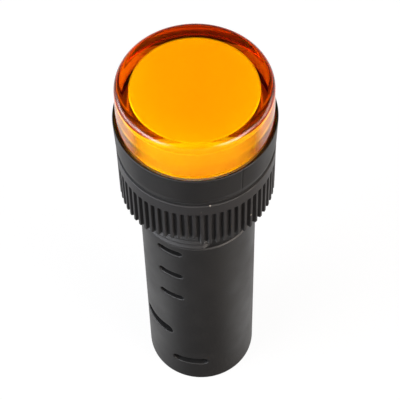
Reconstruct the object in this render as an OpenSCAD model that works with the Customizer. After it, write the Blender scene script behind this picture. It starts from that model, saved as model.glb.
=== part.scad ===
// Panel pilot light for a 16 mm hole: an LED lamp in a long round barrel with a threaded neck.
// The origin is the centre of the rear rim, +Z points along the barrel to the lens,
// and the angles of slots and windows are counted from -Y, as seen from the lens.
// All sizes are in millimetres. The ridges of the fine thread are not drawn:
// the neck stands at the thread's root and the nut turns on the barrel's own diameter.

/* [Barrel] */
// Outside diameter of the barrel
barrel_d = 15.2; // [14.6:0.1:16]
// Length of the barrel, from the rear rim to the back of the bezel
barrel_len = 50.3; // [49.6:0.1:62]
// Wall of the barrel round the circuit board
barrel_wall = 1.5; // [1.1:0.1:1.6]
// Wall of the rear skirt round the terminals
skirt_wall = 1.1; // [0.8:0.1:1.1]
// Depth of the rear skirt, down to the ledge that stops the terminal block
skirt_depth = 10.6; // [10.2:0.1:11.2]
// Length of the threaded neck behind the bezel
thread_len = 14; // [12:0.1:15]
// Depth of the thread's root below the barrel, on the radius
thread_sink = 0.17; // [0.16:0.01:0.3]
// Rounding of the rear rim
rim_round = 0.6; // [0.2:0.1:0.8]

/* [Openings in the barrel] */
// Number of cooling slots in a row
slot_count = 3; // [1:1:3]
// Length of a cooling slot round the barrel
slot_w = 3.6; // [2:0.1:5]
// Height of a cooling slot
slot_h = 1.1; // [0.6:0.1:1.6]
// Spacing of the cooling slots along the barrel
slot_pitch = 5.6; // [3:0.1:6]
// Distance from the back of the bezel to the middle of the first slot
slot_drop = 15.9; // [14:0.1:18]
// Angle of the row of slots, seen from the lens
slot_turn = -31; // [-60:1:60]
// Length of the large window round the barrel
window_w = 5.6; // [3:0.1:6.5]
// Height of the large window
window_h = 2; // [1:0.1:2.4]
// Height of the middle of the large window above the rear rim
window_z = 12.7; // [12.4:0.1:16]
// Angle of the large window
window_turn = -54; // [-80:1:-20]
// Length of the window that the snap catch springs into
catch_window_w = 5.2; // [3.6:0.1:6]
// Height of that window
catch_window_h = 1.5; // [1.1:0.1:2]
// Height of its middle above the rear rim
catch_z = 5.35; // [4.6:0.05:5.8]
// Angle of that window
catch_turn = -13; // [-20:1:20]

/* [Bezel] */
// How far the bezel stands out past the barrel, on the radius
bezel_w = 2.5; // [2.3:0.1:4]
// Height of the bezel
bezel_h = 5.1; // [4.6:0.1:7]
// How much the bezel narrows towards the panel, on the radius
bezel_draft = 0.12; // [0:0.01:0.3]
// Width of the bezel's front rim round the lens
bezel_rim = 0.35; // [0.2:0.05:0.6]
// Rounding of the bezel's front edge
bezel_round = 0.25; // [0.1:0.05:0.3]
// Height of the chamfer at the back of the bezel
bezel_chamfer_h = 0.9; // [0.3:0.1:1.2]
// Width of that chamfer on the radius
bezel_chamfer_w = 0.25; // [0.1:0.05:0.6]
// Thickness of the shelf inside the bezel, which carries the lamp board and the lens
shelf_t = 1; // [0.8:0.1:1.4]

/* [Lens] */
// How far the lens stands out of the bezel
lens_proud = 6; // [4:0.1:9]
// Side wall of the lens
lens_wall = 1.8; // [1.5:0.05:2.1]
// Thickness of the lens at its front
lens_front_t = 2; // [1.2:0.1:2.6]
// Rounding of the lens's front edge
lens_round = 1; // [0.4:0.1:1.3]
// How much the lens narrows towards its front, on the radius
lens_draft = 0.13; // [0:0.01:0.2]
// Depth of the lens's full diameter inside the bezel
lens_seat = 0.8; // [0.5:0.1:1.2]
// Step from the lens's full diameter to its skirt, on the radius
lens_step = 0.42; // [0.3:0.02:0.46]
// Height of the snap bead above the lower edge of the skirt
bead_up = 1.2; // [0.8:0.1:1.6]
// How far the snap bead stands out of the skirt
bead_out = 0.18; // [0.1:0.02:0.24]

/* [Diffuser] */
// Side wall of the diffuser cup
diffuser_wall = 0.9; // [0.7:0.1:1.2]
// Thickness of the diffuser's front
diffuser_front_t = 1; // [0.8:0.1:1.5]
// Gap between the diffuser and the lens
diffuser_gap = 0.22; // [0.1:0.02:0.4]
// Rounding of the diffuser's front edge
diffuser_round = 0.3; // [0.1:0.1:0.6]

/* [Lock nut] */
// How far the ribs of the nut stay inside the bezel's edge, on the radius
nut_shy = 0.15; // [0:0.05:0.4]
// Height of the nut
nut_h = 8.6; // [6:0.1:10]
// Height of the plain collar at the front of the nut
nut_collar_h = 1.8; // [1:0.1:3]
// Number of ribs round the nut
rib_count = 64; // [24:1:66]
// Width of the groove between two ribs
groove_w = 0.62; // [0.4:0.02:0.7]
// Depth of the groove between two ribs
groove_depth = 0.44; // [0.36:0.02:0.6]
// Rounding of the nut's edges
nut_round = 0.3; // [0.1:0.05:0.5]
// Lead-in chamfer of the nut's thread
nut_lead_in = 0.5; // [0.3:0.1:0.8]
// Height of the ramp in the nut's lower edge
ramp_h = 1.6; // [0.8:0.1:2.4]
// Length of the ramp round the nut, as an angle
ramp_angle = 42; // [30:1:60]
// Angle of the ramp's steep end, seen from the lens
ramp_turn = -1; // [-30:1:30]

/* [Sealing washer] */
// Thickness of the washer, as clamped
washer_t = 0.5; // [0.4:0.1:1.5]
// Width of the washer's ring
washer_ring = 1.45; // [1:0.05:1.7]

/* [Circuit boards] */
// Thickness of the lamp board and of the driver board
board_t = 1; // [0.8:0.1:1.2]
// How far the driver board's tongue reaches into the terminal block
board_foot = 1; // [0.6:0.1:1.6]
// Gap between the driver board's top edge and the lamp board
board_gap = 0.7; // [0.4:0.1:1.5]
// Distance of the driver board's front face from the barrel's axis
board_offset = 0.1; // [0:0.05:0.3]
// Number of lamp chips
chip_count = 6; // [3:1:6]
// Gap between the chips and the wall of the diffuser
chip_edge = 0.65; // [0.5:0.05:0.8]
// Size of a lamp chip, along the radius, across it and upwards
chip_size = [3.5, 2.8, 0.8];
// Thickness of the square pins that join the two boards
pin_t = 0.6; // [0.4:0.1:0.8]
// Distance between the middles of the two pins
pin_spacing = 3.6; // [3:0.1:4.2]
// How far the pins reach down the driver board
pin_reach = 4; // [2:0.1:4.5]
// How far the pins stand out of the lamp board
pin_proud = 0.5; // [0.2:0.1:0.8]

/* [Driver parts] */
// Height of the lowest part on each side of the board above the terminal block
parts_up = 3.4; // [3:0.1:4.4]
// Gap between one part and the next along the board
part_gap = 1.4; // [0.8:0.1:1.8]
// Width of the film capacitor, which is as deep as the barrel allows
film_cap_w = 6.4; // [4:0.1:7]
// Length of the film capacitor
film_cap_len = 12; // [8:0.1:12.6]
// Diameter of the filter capacitor
can_cap_d = 5; // [4:0.1:5]
// Length of the filter capacitor
can_cap_len = 11; // [7:0.1:12]
// Size of the bridge rectifier: width, depth and length
bridge_size = [3.9, 2.4, 4.7];
// Diameter of a resistor's body
resistor_d = 2.4; // [1.8:0.1:2.6]
// Length of a resistor's body
resistor_len = 6.2; // [4:0.1:6.6]
// Diameter of the surge diode's body
diode_d = 2.7; // [2:0.1:2.8]
// Length of the surge diode's body
diode_len = 4.6; // [3:0.1:4.8]
// Diameter of the component leads
lead_d = 0.6; // [0.4:0.1:0.8]

/* [Terminals] */
// Thickness of the terminal block's floor
block_t = 3.2; // [2.6:0.1:3.4]
// Thickness of the wall between the two terminals
barrier_t = 1; // [0.8:0.1:1.2]
// How far that wall stays behind the rear rim
barrier_recess = 0.8; // [0.2:0.1:2]
// Thickness of the brass terminal strips
strip_t = 0.6; // [0.4:0.1:0.8]
// Width of the strip's leg beside the driver board
strip_leg_w = 2.2; // [1.8:0.1:2.6]
// How far the leg reaches up the driver board
strip_reach = 2.2; // [1:0.1:2.4]
// Width of the strip's foot under the screw
foot_w = 4.8; // [4.4:0.1:4.8]
// Thickness of the wire clamp plate
clamp_t = 0.8; // [0.5:0.1:1]
// Diameter of the screw's thread
screw_d = 2.5; // [2:0.1:2.6]
// Diameter of the screw's head
screw_head_d = 4.1; // [3.6:0.1:4.2]
// Height of the screw's head
screw_head_h = 1.5; // [1.2:0.1:1.7]
// Length of the screw under its head
screw_len = 4.2; // [3.4:0.1:4.4]
// Width of the slots in the screw's head
drive_w = 0.6; // [0.4:0.05:0.8]
// Depth of the slots in the screw's head
drive_depth = 0.9; // [0.5:0.1:1]

/* [Snap catches] */
// Thickness of a catch's spring leg
catch_leg_t = 0.8; // [0.6:0.1:1]
// Width of a catch's spring leg, as an angle
catch_leg_angle = 34; // [20:1:38]
// How far the leg reaches behind the catch
catch_tip = 0.5; // [0.2:0.1:0.8]
// Depth of the catch's nose below the outside of the barrel
catch_shy = 0.35; // [0.1:0.05:0.7]

/* [Fits] */
// Clearance between the nut or the washer and the barrel, on the radius
run_fit = 0.1; // [0.05:0.01:0.2]
// Clearance between pieces that are pushed together
push_fit = 0.05; // [0.02:0.01:0.1]
// Clearance round the boards, the pins and the strips
loose_fit = 0.1; // [0.05:0.01:0.2]
// Clearance round a catch in its window
catch_fit = 0.2; // [0.1:0.05:0.3]

/* [Hidden] */
$fn = 96;
arc_steps = 6;
cut_over = 1;

barrel_r = barrel_d / 2;
bore_r = barrel_r - barrel_wall;
skirt_r = barrel_r - skirt_wall;
thread_z = barrel_len - thread_len;

bezel_r = barrel_r + bezel_w;
bezel_back_r = bezel_r - bezel_draft;
bezel_top_z = barrel_len + bezel_h;
shelf_z = barrel_len + shelf_t;

seat_r = bezel_r - bezel_rim;
lens_r = seat_r - push_fit;
lens_front_r = lens_r - lens_draft;
lens_in_r = lens_r - lens_wall;
skirt_out_r = lens_r - lens_step;
socket_r = skirt_out_r + push_fit;
seat_z = bezel_top_z - lens_seat;
lens_top_z = bezel_top_z + lens_proud;

lamp_board_z = shelf_z;
lamp_board_top_z = lamp_board_z + board_t;
lamp_board_r = socket_r - loose_fit;
lens_end_z = lamp_board_top_z + push_fit;
bead_z = lens_end_z + bead_up;
diffuser_r = lens_in_r - diffuser_gap;
diffuser_top_z = lens_top_z - lens_front_t - diffuser_gap;
chip_circle_r = diffuser_r - diffuser_wall - chip_edge - chip_size[0] / 2;

nut_r = bezel_r - nut_shy;
nut_bore_r = barrel_r + run_fit;
washer_z = barrel_len - washer_t;
nut_z = washer_z - nut_h;
groove_top_z = washer_z - nut_collar_h;

block_top_z = skirt_depth;
block_z = block_top_z - block_t;
block_r = skirt_r - push_fit;
foot_z = block_z - strip_t;
clamp_z = foot_z - clamp_t;
strip_out_x = bore_r - 3.5 * loose_fit;
foot_in_x = barrier_t / 2 + 3 * loose_fit;
screw_x = (foot_in_x + strip_out_x) / 2;

driver_w = 2 * (strip_out_x - strip_t);
tongue_w = 2 * (screw_x - screw_d / 2) - 4 * loose_fit;
driver_top_z = lamp_board_z - board_gap;
driver_back_y = board_offset + board_t;

lead_out = 2 * lead_d;
part_step = part_gap + lead_out;
series_resistor_z = block_top_z + parts_up;
bridge_z = series_resistor_z + resistor_len + part_step;
can_cap_z = bridge_z + bridge_size[2] + part_step;
film_cap_z = block_top_z + parts_up;
film_cap_y = sqrt(pow(bore_r - loose_fit, 2) - pow(film_cap_w / 2, 2));
bleed_resistor_z = film_cap_z + film_cap_len + part_step;
diode_z = bleed_resistor_z + resistor_len + lead_out + part_step;

// Points of an arc about c, from angle a0 to a1
function arc(c, r, a0, a1) =
    [for (i = [0:arc_steps])
        let (a = a0 + (a1 - a0) * i / arc_steps)
        [c[0] + r * cos(a), c[1] + r * sin(a)]];

// Turns its children to an angle seen from the lens, where 0 is -Y
module at_turn(turn) {
    rotate([0, 0, turn])
        children();
}

// Round-ended punch through the wall on the -Y side, at height z
module slot_punch(w, h, z) {
    translate([0, -barrel_r, z])
        rotate([90, 0, 0])
            union() {
                cube([w - h, h, 3 * barrel_wall], center = true);
                for (side = [-1, 1])
                    translate([side * (w - h) / 2, 0, 0])
                        cylinder(d = h, h = 3 * barrel_wall, center = true, $fn = 32);
            }
}

// Barrel, bezel and shelf, moulded in one piece
module housing() {
    color("#2b2b2c")
        difference() {
            rotate_extrude()
                polygon(concat(
                    arc([barrel_r - rim_round, rim_round], rim_round, -90, 0),
                    [[barrel_r, thread_z - thread_sink],
                     [barrel_r - thread_sink, thread_z],
                     [barrel_r - thread_sink, barrel_len],
                     [bezel_back_r - bezel_chamfer_w, barrel_len],
                     [bezel_back_r, barrel_len + bezel_chamfer_h]],
                    arc([bezel_r - bezel_round, bezel_top_z - bezel_round], bezel_round, 0, 90),
                    [[seat_r, bezel_top_z],
                     [seat_r, seat_z],
                     [socket_r, seat_z],
                     [socket_r, bead_z + 2 * bead_out],
                     [socket_r + bead_out, bead_z + bead_out],
                     [socket_r + bead_out, bead_z - bead_out],
                     [socket_r, bead_z - 2 * bead_out],
                     [socket_r, shelf_z],
                     [bore_r, shelf_z],
                     [bore_r, block_top_z],
                     [skirt_r, block_top_z],
                     [skirt_r, 0]]));
            for (side = [0, 180], i = [0:slot_count - 1])
                at_turn(slot_turn + side)
                    slot_punch(slot_w, slot_h, barrel_len - slot_drop - i * slot_pitch);
            for (side = [0, 180])
                at_turn(window_turn + side)
                    slot_punch(window_w, window_h, window_z);
            for (side = [0, 180])
                at_turn(catch_turn + side)
                    slot_punch(catch_window_w, catch_window_h, catch_z);
        }
}

// Clear amber cap: a thick-walled cup with a stepped skirt that snaps into the bezel
module lens_cap() {
    color("#ff9500", 0.7)
        rotate_extrude()
            polygon(concat(
                [[lens_in_r, lens_end_z],
                 [skirt_out_r, lens_end_z],
                 [skirt_out_r, bead_z - bead_out],
                 [skirt_out_r + bead_out, bead_z],
                 [skirt_out_r, bead_z + bead_out],
                 [skirt_out_r, seat_z],
                 [lens_r, seat_z],
                 [lens_r, bezel_top_z]],
                arc([lens_front_r - lens_round, lens_top_z - lens_round], lens_round, 0, 90),
                [[0, lens_top_z],
                 [0, lens_top_z - lens_front_t],
                 [lens_in_r, lens_top_z - lens_front_t]]));
}

// White cup over the lamp chips, which spreads their light
module diffuser() {
    color("#f4efe4")
        rotate_extrude()
            polygon(concat(
                [[diffuser_r - diffuser_wall, lamp_board_top_z],
                 [diffuser_r, lamp_board_top_z]],
                arc([diffuser_r - diffuser_round, diffuser_top_z - diffuser_round], diffuser_round, 0, 90),
                [[0, diffuser_top_z],
                 [0, diffuser_top_z - diffuser_front_t],
                 [diffuser_r - diffuser_wall, diffuser_top_z - diffuser_front_t]]));
}

// Rubber ring between the bezel and the panel
module sealing_washer() {
    color("#1b1b1c")
        translate([0, 0, washer_z])
            difference() {
                cylinder(r = nut_bore_r + washer_ring, h = washer_t);
                translate([0, 0, -cut_over])
                    cylinder(r = nut_bore_r, h = washer_t + 2 * cut_over);
            }
}

// Wedge under the nut: a slope that rises for ramp_angle and ends at a steep step
module ramp_cut() {
    ramp_len = 2 * nut_r * sin(ramp_angle / 2);
    slope = atan(ramp_h / ramp_len);
    at_turn(ramp_turn - ramp_angle / 2)
        translate([ramp_len / 2, -nut_r - cut_over, nut_z + ramp_h])
            rotate([0, -slope, 0])
                translate([-2 * ramp_len, 0, -2 * ramp_h])
                    cube([2 * ramp_len, nut_r - nut_bore_r + 2 * cut_over, 2 * ramp_h]);
}

// Hand nut: a plain collar over open-ended grooves with round bottoms and tops
module lock_nut() {
    groove_r = groove_w / 2;
    groove_mid_r = nut_r - groove_depth + groove_r;
    color("#2f2f31")
        difference() {
            rotate_extrude()
                polygon(concat(
                    [[nut_bore_r + nut_lead_in, nut_z]],
                    arc([nut_r - nut_round, nut_z + nut_round], nut_round, -90, 0),
                    arc([nut_r - nut_round, washer_z - nut_round], nut_round, 0, 90),
                    [[nut_bore_r, washer_z],
                     [nut_bore_r, nut_z + nut_lead_in]]));
            for (i = [0:rib_count - 1])
                rotate([0, 0, i * 360 / rib_count])
                    translate([groove_mid_r, 0, nut_z - cut_over]) {
                        cylinder(r = groove_r, h = groove_top_z - groove_r - nut_z + cut_over, $fn = 16);
                        translate([0, 0, groove_top_z - groove_r - nut_z + cut_over])
                            sphere(r = groove_r, $fn = 16);
                    }
            ramp_cut();
        }
}

// Round board under the lens and the lamp chips, with holes for the two pins
module lamp_board() {
    color("#f2f2ee")
        translate([0, 0, lamp_board_z])
            difference() {
                cylinder(r = lamp_board_r, h = board_t);
                for (side = [-1, 1])
                    translate([side * pin_spacing / 2, board_offset - pin_t / 2, board_t / 2])
                        cube([pin_t + 2 * loose_fit, pin_t + 2 * loose_fit, 2 * board_t + cut_over],
                             center = true);
            }
}

// One lamp chip: a white block with a round well of yellow phosphor
module lamp_chip(i) {
    well_d = chip_size[1] - 6 * loose_fit;
    well_depth = chip_size[2] / 4;
    color("#f0c23c")
        at_turn(i * 360 / chip_count)
            translate([0, -chip_circle_r, lamp_board_top_z])
                difference() {
                    translate([-chip_size[1] / 2, -chip_size[0] / 2, 0])
                        cube([chip_size[1], chip_size[0], chip_size[2]]);
                    translate([0, 0, chip_size[2] - well_depth])
                        cylinder(d1 = well_d - 2 * well_depth, d2 = well_d + 2 * well_depth,
                                 h = 2 * well_depth, $fn = 32);
                }
}

// Square pin from the driver board up through the lamp board
module board_pin(side) {
    color("#c9b15a")
        translate([side * pin_spacing / 2 - pin_t / 2, board_offset - pin_t, driver_top_z - pin_reach])
            cube([pin_t, pin_t, lamp_board_top_z + pin_proud - driver_top_z + pin_reach]);
}

// Long board along the barrel, with a tongue that plugs into the terminal block
module driver_board() {
    color("#2f6b3c")
        translate([0, board_offset, 0]) {
            translate([-driver_w / 2, 0, block_top_z])
                cube([driver_w, board_t, driver_top_z - block_top_z]);
            translate([-tongue_w / 2, 0, block_top_z - board_foot])
                cube([tongue_w, board_t, board_foot + board_t]);
        }
}

// Leaded part lying along the board: a body and two leads bent down to the board face at y = 0
module axial_part(body_d, body_len, lift) {
    translate([0, -lift, 0]) {
        rotate_extrude()
            polygon([[0, 0],
                     [body_d / 2 - lead_d / 3, 0],
                     [body_d / 2, lead_d / 2],
                     [body_d / 2, body_len - lead_d / 2],
                     [body_d / 2 - lead_d / 3, body_len],
                     [0, body_len]]);
        translate([0, 0, -lead_out])
            cylinder(d = lead_d, h = body_len + 2 * lead_out, $fn = 24);
    }
    for (z = [-lead_out, body_len + lead_out])
        translate([0, 0, z]) {
            rotate([90, 0, 0])
                cylinder(d = lead_d, h = lift, $fn = 24);
            translate([0, -lift, 0])
                sphere(d = lead_d, $fn = 24);
        }
}

// Film capacitor that drops the supply voltage, flat against the back of the board
module film_capacitor() {
    color("#8f2f1d")
        translate([-film_cap_w / 2, driver_back_y, film_cap_z])
            cube([film_cap_w, film_cap_y - driver_back_y, film_cap_len]);
}

// Filter capacitor: a can with a crimped seal end, lying along the front of the board
module filter_capacitor() {
    can_r = can_cap_d / 2;
    crimp = can_cap_d / 20;
    color("#20242e")
        translate([0, board_offset - can_r, can_cap_z]) {
            rotate_extrude()
                polygon([[0, 0],
                         [can_r - crimp, 0],
                         [can_r, crimp],
                         [can_r, 5 * crimp],
                         [can_r - crimp, 6 * crimp],
                         [can_r, 7 * crimp],
                         [can_r, can_cap_len - crimp],
                         [can_r - crimp, can_cap_len],
                         [0, can_cap_len]]);
            for (side = [-1, 1])
                translate([side * can_r / 2, 0, -lead_out]) {
                    cylinder(d = lead_d, h = lead_out + crimp, $fn = 24);
                    sphere(d = lead_d, $fn = 24);
                    rotate([-90, 0, 0])
                        cylinder(d = lead_d, h = can_r, $fn = 24);
                }
        }
}

// Bridge rectifier with two flat feet on each side
module bridge_rectifier() {
    leg_w = 2 * lead_d;
    color("#262626")
        translate([0, board_offset - bridge_size[1], bridge_z]) {
            translate([-bridge_size[0] / 2, 0, 0])
                cube(bridge_size);
            for (z = [leg_w / 2, bridge_size[2] - 1.5 * leg_w])
                translate([-bridge_size[0] / 2 - leg_w, bridge_size[1] - lead_d / 2, z])
                    cube([bridge_size[0] + 2 * leg_w, lead_d / 2, leg_w]);
        }
}

// Series resistor, in front of the board
module series_resistor() {
    color("#b9a47c")
        translate([0, board_offset, series_resistor_z])
            axial_part(resistor_d, resistor_len, resistor_d / 2);
}

// Bleed resistor, behind the board
module bleed_resistor() {
    color("#7fa6bd")
        translate([0, driver_back_y, bleed_resistor_z])
            rotate([0, 0, 180])
                axial_part(resistor_d, resistor_len, resistor_d / 2);
}

// Surge diode, behind the board
module surge_diode() {
    color("#1d1d1d")
        translate([0, driver_back_y, diode_z])
            rotate([0, 0, 180])
                axial_part(diode_d, diode_len, diode_d / 2);
}

// Spring leg with a nose that sits in the barrel's catch window
module snap_catch() {
    leg_z = catch_z - catch_window_h / 2 - catch_tip;
    nose_h = catch_window_h - 2 * catch_fit;
    nose_w = catch_window_w - 2 * catch_fit - nose_h;
    rotate([0, 0, -90 - catch_leg_angle / 2])
        translate([0, 0, leg_z])
            rotate_extrude(angle = catch_leg_angle)
                translate([block_r - catch_leg_t, 0])
                    square([catch_leg_t, block_z + cut_over / 2 - leg_z]);
    intersection() {
        translate([-nose_w / 2, -barrel_r, catch_z - nose_h / 2])
            cube([nose_w, barrel_r, nose_h]);
        translate([0, 0, catch_z - nose_h / 2])
            difference() {
                cylinder(r1 = barrel_r - catch_shy - nose_h / 3, r2 = barrel_r - catch_shy, h = nose_h);
                translate([0, 0, -cut_over])
                    cylinder(r = block_r - catch_leg_t / 2, h = nose_h + 2 * cut_over);
            }
    }
}

// Plug in the rear skirt: a floor for the terminals, the wall between them and two catches
module terminal_block() {
    tap_clear = screw_d / 2 + loose_fit;
    wall_reach = block_r - catch_leg_t;
    color("#262628")
        difference() {
            union() {
                translate([0, 0, block_z])
                    cylinder(r = block_r, h = block_t);
                translate([-barrier_t / 2, -wall_reach, barrier_recess])
                    cube([barrier_t, 2 * wall_reach, block_z - barrier_recess + block_t / 2]);
                for (side = [0, 180])
                    at_turn(catch_turn + side)
                        snap_catch();
            }
            for (side = [-1, 1]) {
                translate([side * screw_x, 0, block_z - cut_over])
                    cylinder(r = tap_clear, h = screw_len - strip_t - clamp_t + loose_fit + cut_over);
                translate([side * (strip_out_x - strip_t / 2), 0, block_z + block_t / 2])
                    cube([strip_t + 2 * loose_fit, strip_leg_w + 2 * loose_fit, block_t + 2 * cut_over],
                         center = true);
            }
            translate([-tongue_w / 2 - push_fit, board_offset - push_fit, block_top_z - board_foot])
                cube([tongue_w + 2 * push_fit, board_t + 2 * push_fit, board_foot + cut_over]);
        }
}

// Brass strip: a foot under the screw and a leg up beside the driver board
module terminal_strip(side) {
    color("#c8a24a")
        scale([side, 1, 1])
            difference() {
                union() {
                    translate([foot_in_x, -foot_w / 2, foot_z])
                        cube([strip_out_x - foot_in_x, foot_w, strip_t]);
                    translate([strip_out_x - strip_t, -strip_leg_w / 2, foot_z])
                        cube([strip_t, strip_leg_w, block_top_z + strip_reach - foot_z]);
                }
                translate([screw_x, 0, foot_z - cut_over])
                    cylinder(r = screw_d / 2 + push_fit, h = strip_t + 2 * cut_over);
            }
}

// Square plate under the screw's head, which presses the wire on the strip
module clamp_plate(side) {
    plate_w = 2 * (screw_x - foot_in_x);
    color("#b9bcc0")
        translate([side * screw_x, 0, clamp_z])
            difference() {
                translate([-plate_w / 2, -foot_w / 2, 0])
                    cube([plate_w, foot_w, clamp_t]);
                translate([0, 0, -cut_over])
                    cylinder(r = screw_d / 2 + loose_fit, h = clamp_t + 2 * cut_over);
            }
}

// Pan-head screw with a cross slot, its head towards the rear
module terminal_screw(side) {
    head_r = screw_head_d / 2;
    head_round = screw_head_h / 2;
    color("#c4c7ca")
        translate([side * screw_x, 0, clamp_z])
            difference() {
                rotate_extrude()
                    polygon(concat(
                        [[0, screw_len],
                         [0, -screw_head_h]],
                        arc([head_r - head_round, -head_round], head_round, -90, 0),
                        [[head_r, 0],
                         [screw_d / 2, 0],
                         [screw_d / 2, screw_len - screw_d / 8],
                         [screw_d / 2 - screw_d / 8, screw_len]]));
                for (turn = [45, 135])
                    rotate([0, 0, turn])
                        translate([0, 0, drive_depth - screw_head_h - cut_over])
                            cube([drive_w, 0.65 * screw_head_d, 2 * cut_over], center = true);
            }
}

housing();
lens_cap();
diffuser();
sealing_washer();
lock_nut();
lamp_board();
lamp_chip(0);  // lamp_chip_1
lamp_chip(1);  // lamp_chip_2
lamp_chip(2);  // lamp_chip_3
lamp_chip(3);  // lamp_chip_4
lamp_chip(4);  // lamp_chip_5
lamp_chip(5);  // lamp_chip_6
board_pin(-1);  // board_pin_left
board_pin(1);  // board_pin_right
driver_board();
film_capacitor();
filter_capacitor();
bridge_rectifier();
series_resistor();
bleed_resistor();
surge_diode();
terminal_block();
terminal_strip(-1);  // terminal_strip_left
terminal_strip(1);  // terminal_strip_right
clamp_plate(-1);  // clamp_plate_left
clamp_plate(1);  // clamp_plate_right
terminal_screw(-1);  // terminal_screw_left
terminal_screw(1);  // terminal_screw_right
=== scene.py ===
import bmesh
import bpy
import numpy as np
from mathutils import Matrix, Vector
from mathutils.geometry import delaunay_2d_cdt


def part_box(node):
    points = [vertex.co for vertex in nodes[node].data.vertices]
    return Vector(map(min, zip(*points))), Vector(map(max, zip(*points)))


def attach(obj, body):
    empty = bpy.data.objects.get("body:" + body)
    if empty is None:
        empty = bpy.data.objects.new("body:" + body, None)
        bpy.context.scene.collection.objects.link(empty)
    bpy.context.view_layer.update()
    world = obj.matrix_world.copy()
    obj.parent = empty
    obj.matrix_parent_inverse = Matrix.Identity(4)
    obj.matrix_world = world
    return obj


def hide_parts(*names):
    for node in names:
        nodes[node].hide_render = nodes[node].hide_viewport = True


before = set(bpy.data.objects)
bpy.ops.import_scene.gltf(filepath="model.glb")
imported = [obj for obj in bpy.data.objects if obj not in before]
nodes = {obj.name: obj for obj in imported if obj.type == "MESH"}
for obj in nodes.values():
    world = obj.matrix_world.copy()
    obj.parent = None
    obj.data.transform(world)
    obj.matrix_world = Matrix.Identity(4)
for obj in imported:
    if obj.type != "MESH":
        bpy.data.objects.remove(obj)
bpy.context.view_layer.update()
mm = 0.001
seamGap = 0.0005  # mm; points closer than this become one
touch = 0.01  # mm; closer than this counts as on a surface
seamTurn = -120.0  # degrees; where a ring's mesh starts, clear of every opening
reliefDepth = 0.02  # mm; what a bump of full strength stands for
noiseLow, noiseHigh = 0.3, 0.7  # most values of a noise lie between these
print("frame loaded:", len(nodes), "nodes")


def hexToLinear(code):
    # sRGB hex to linear light: the lower part is a straight line, the rest a power curve
    srgb = np.array([int(code[i:i + 2], 16) for i in (1, 3, 5)]) / 255
    linear = np.where(srgb <= 0.04045, srgb / 12.92, ((srgb + 0.055) / 1.055) ** 2.4)
    return (*linear.tolist(), 1.0)


def addNode(tree, kind, settings=None, links=None):
    # one node: attributes and socket values from settings, incoming sockets from links; a number is a
    # socket's place, as 1 to 4 for a Map Range's from low, from high, to low, to high, and 6 and 7 for
    # the two colours of a Mix
    node = tree.nodes.new(kind)
    for key, value in (settings or {}).items():
        if isinstance(key, int) or key in node.inputs:
            node.inputs[key].default_value = value
        else:
            setattr(node, key, value)
    for key, source in (links or {}).items():
        tree.links.new(source, node.inputs[key])
    return node


def newMaterial(name):
    # an empty material with its output node
    material = bpy.data.materials.new(name)
    material.use_nodes = True
    tree = material.node_tree
    tree.nodes.clear()
    return material, tree, addNode(tree, "ShaderNodeOutputMaterial")


def fromAxis(tree, place):
    # distance from the Z axis: the length of (x, y, 0)
    level = addNode(tree, "ShaderNodeVectorMath", {"operation": "MULTIPLY", 1: (1, 1, 0)}, {0: place})
    away = addNode(tree, "ShaderNodeVectorMath", {"operation": "LENGTH"}, {0: level.outputs[0]})
    return away.outputs["Value"]


def boxMm(node):
    # lowest and highest corner of a CAD node, in millimetres
    low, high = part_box(node)
    return np.array(low) / mm, np.array(high) / mm


def smoothStep(low, high, x):
    # 0 below low, 1 above high, and 3t^2 - 2t^3 between them
    t = np.clip((x - low) / (high - low), 0, 1)
    return t * t * (3 - 2 * t)


def gridFaces(rows, columns, closeRows=False, closeColumns=False):
    # quads between neighbouring rows and columns of a grid of points
    i = np.arange(rows if closeRows else rows - 1)[:, None]
    j = np.arange(columns if closeColumns else columns - 1)[None, :]
    nextI, nextJ = (i + 1) % rows, (j + 1) % columns
    quads = np.stack(np.broadcast_arrays(i * columns + j, nextI * columns + j,
                                         nextI * columns + nextJ, i * columns + nextJ), axis=-1)
    return quads.reshape(-1, 4)


def roundProfile(corners, steps=6, support=0.04, closed=True):
    # an outline of (r, z, radius) corners, in mm: each corner with a radius becomes an arc that is
    # tangent to both of its sides, with one more point just outside each end to keep the flats flat
    points = np.array(corners, float)
    count = len(points)
    outline = []
    for k in range(count):
        here, radius = points[k, :2], points[k, 2]
        atEnd = not closed and k in (0, count - 1)
        if radius == 0 or atEnd:
            outline.append(here[None, :])
            continue
        back = points[k - 1, :2] - here
        ahead = points[(k + 1) % count, :2] - here
        back, ahead = back / np.linalg.norm(back), ahead / np.linalg.norm(ahead)
        half = np.arccos(np.clip(back @ ahead, -1, 1)) / 2
        reach = radius / np.tan(half)
        middle = here + (back + ahead) / np.linalg.norm(back + ahead) * radius / np.sin(half)
        start, end = here + back * reach - middle, here + ahead * reach - middle
        sweep = np.pi - 2 * half
        t = np.linspace(0, 1, steps + 1)[:, None]
        arc = (np.sin((1 - t) * sweep) * start + np.sin(t * sweep) * end) / np.sin(sweep) + middle
        lead = np.minimum(support, radius)
        outline.append(np.vstack([here + back * (reach + lead), arc, here + ahead * (reach + lead)]))
    return np.vstack(outline)


def ringAngles(steps, extra=()):
    # even steps round the axis from the seam, with extra angles worked in
    even = np.radians(seamTurn) + np.linspace(0, 2 * np.pi, steps, endpoint=False)
    return np.unique(np.round(np.concatenate([even, np.asarray(extra, float)]), 6))


def revolve(profile, angles, closed=True):
    # a profile of (r, z) turned about Z: x = r sin(a), y = -r cos(a), with a counted from -Y
    r, z = profile[:, 0], profile[:, 1]
    points = np.stack([np.outer(np.sin(angles), r), -np.outer(np.cos(angles), r),
                       np.broadcast_to(z, (len(angles), len(z)))], axis=-1)
    return points.reshape(-1, 3), gridFaces(len(angles), len(profile), True, closed)


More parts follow.
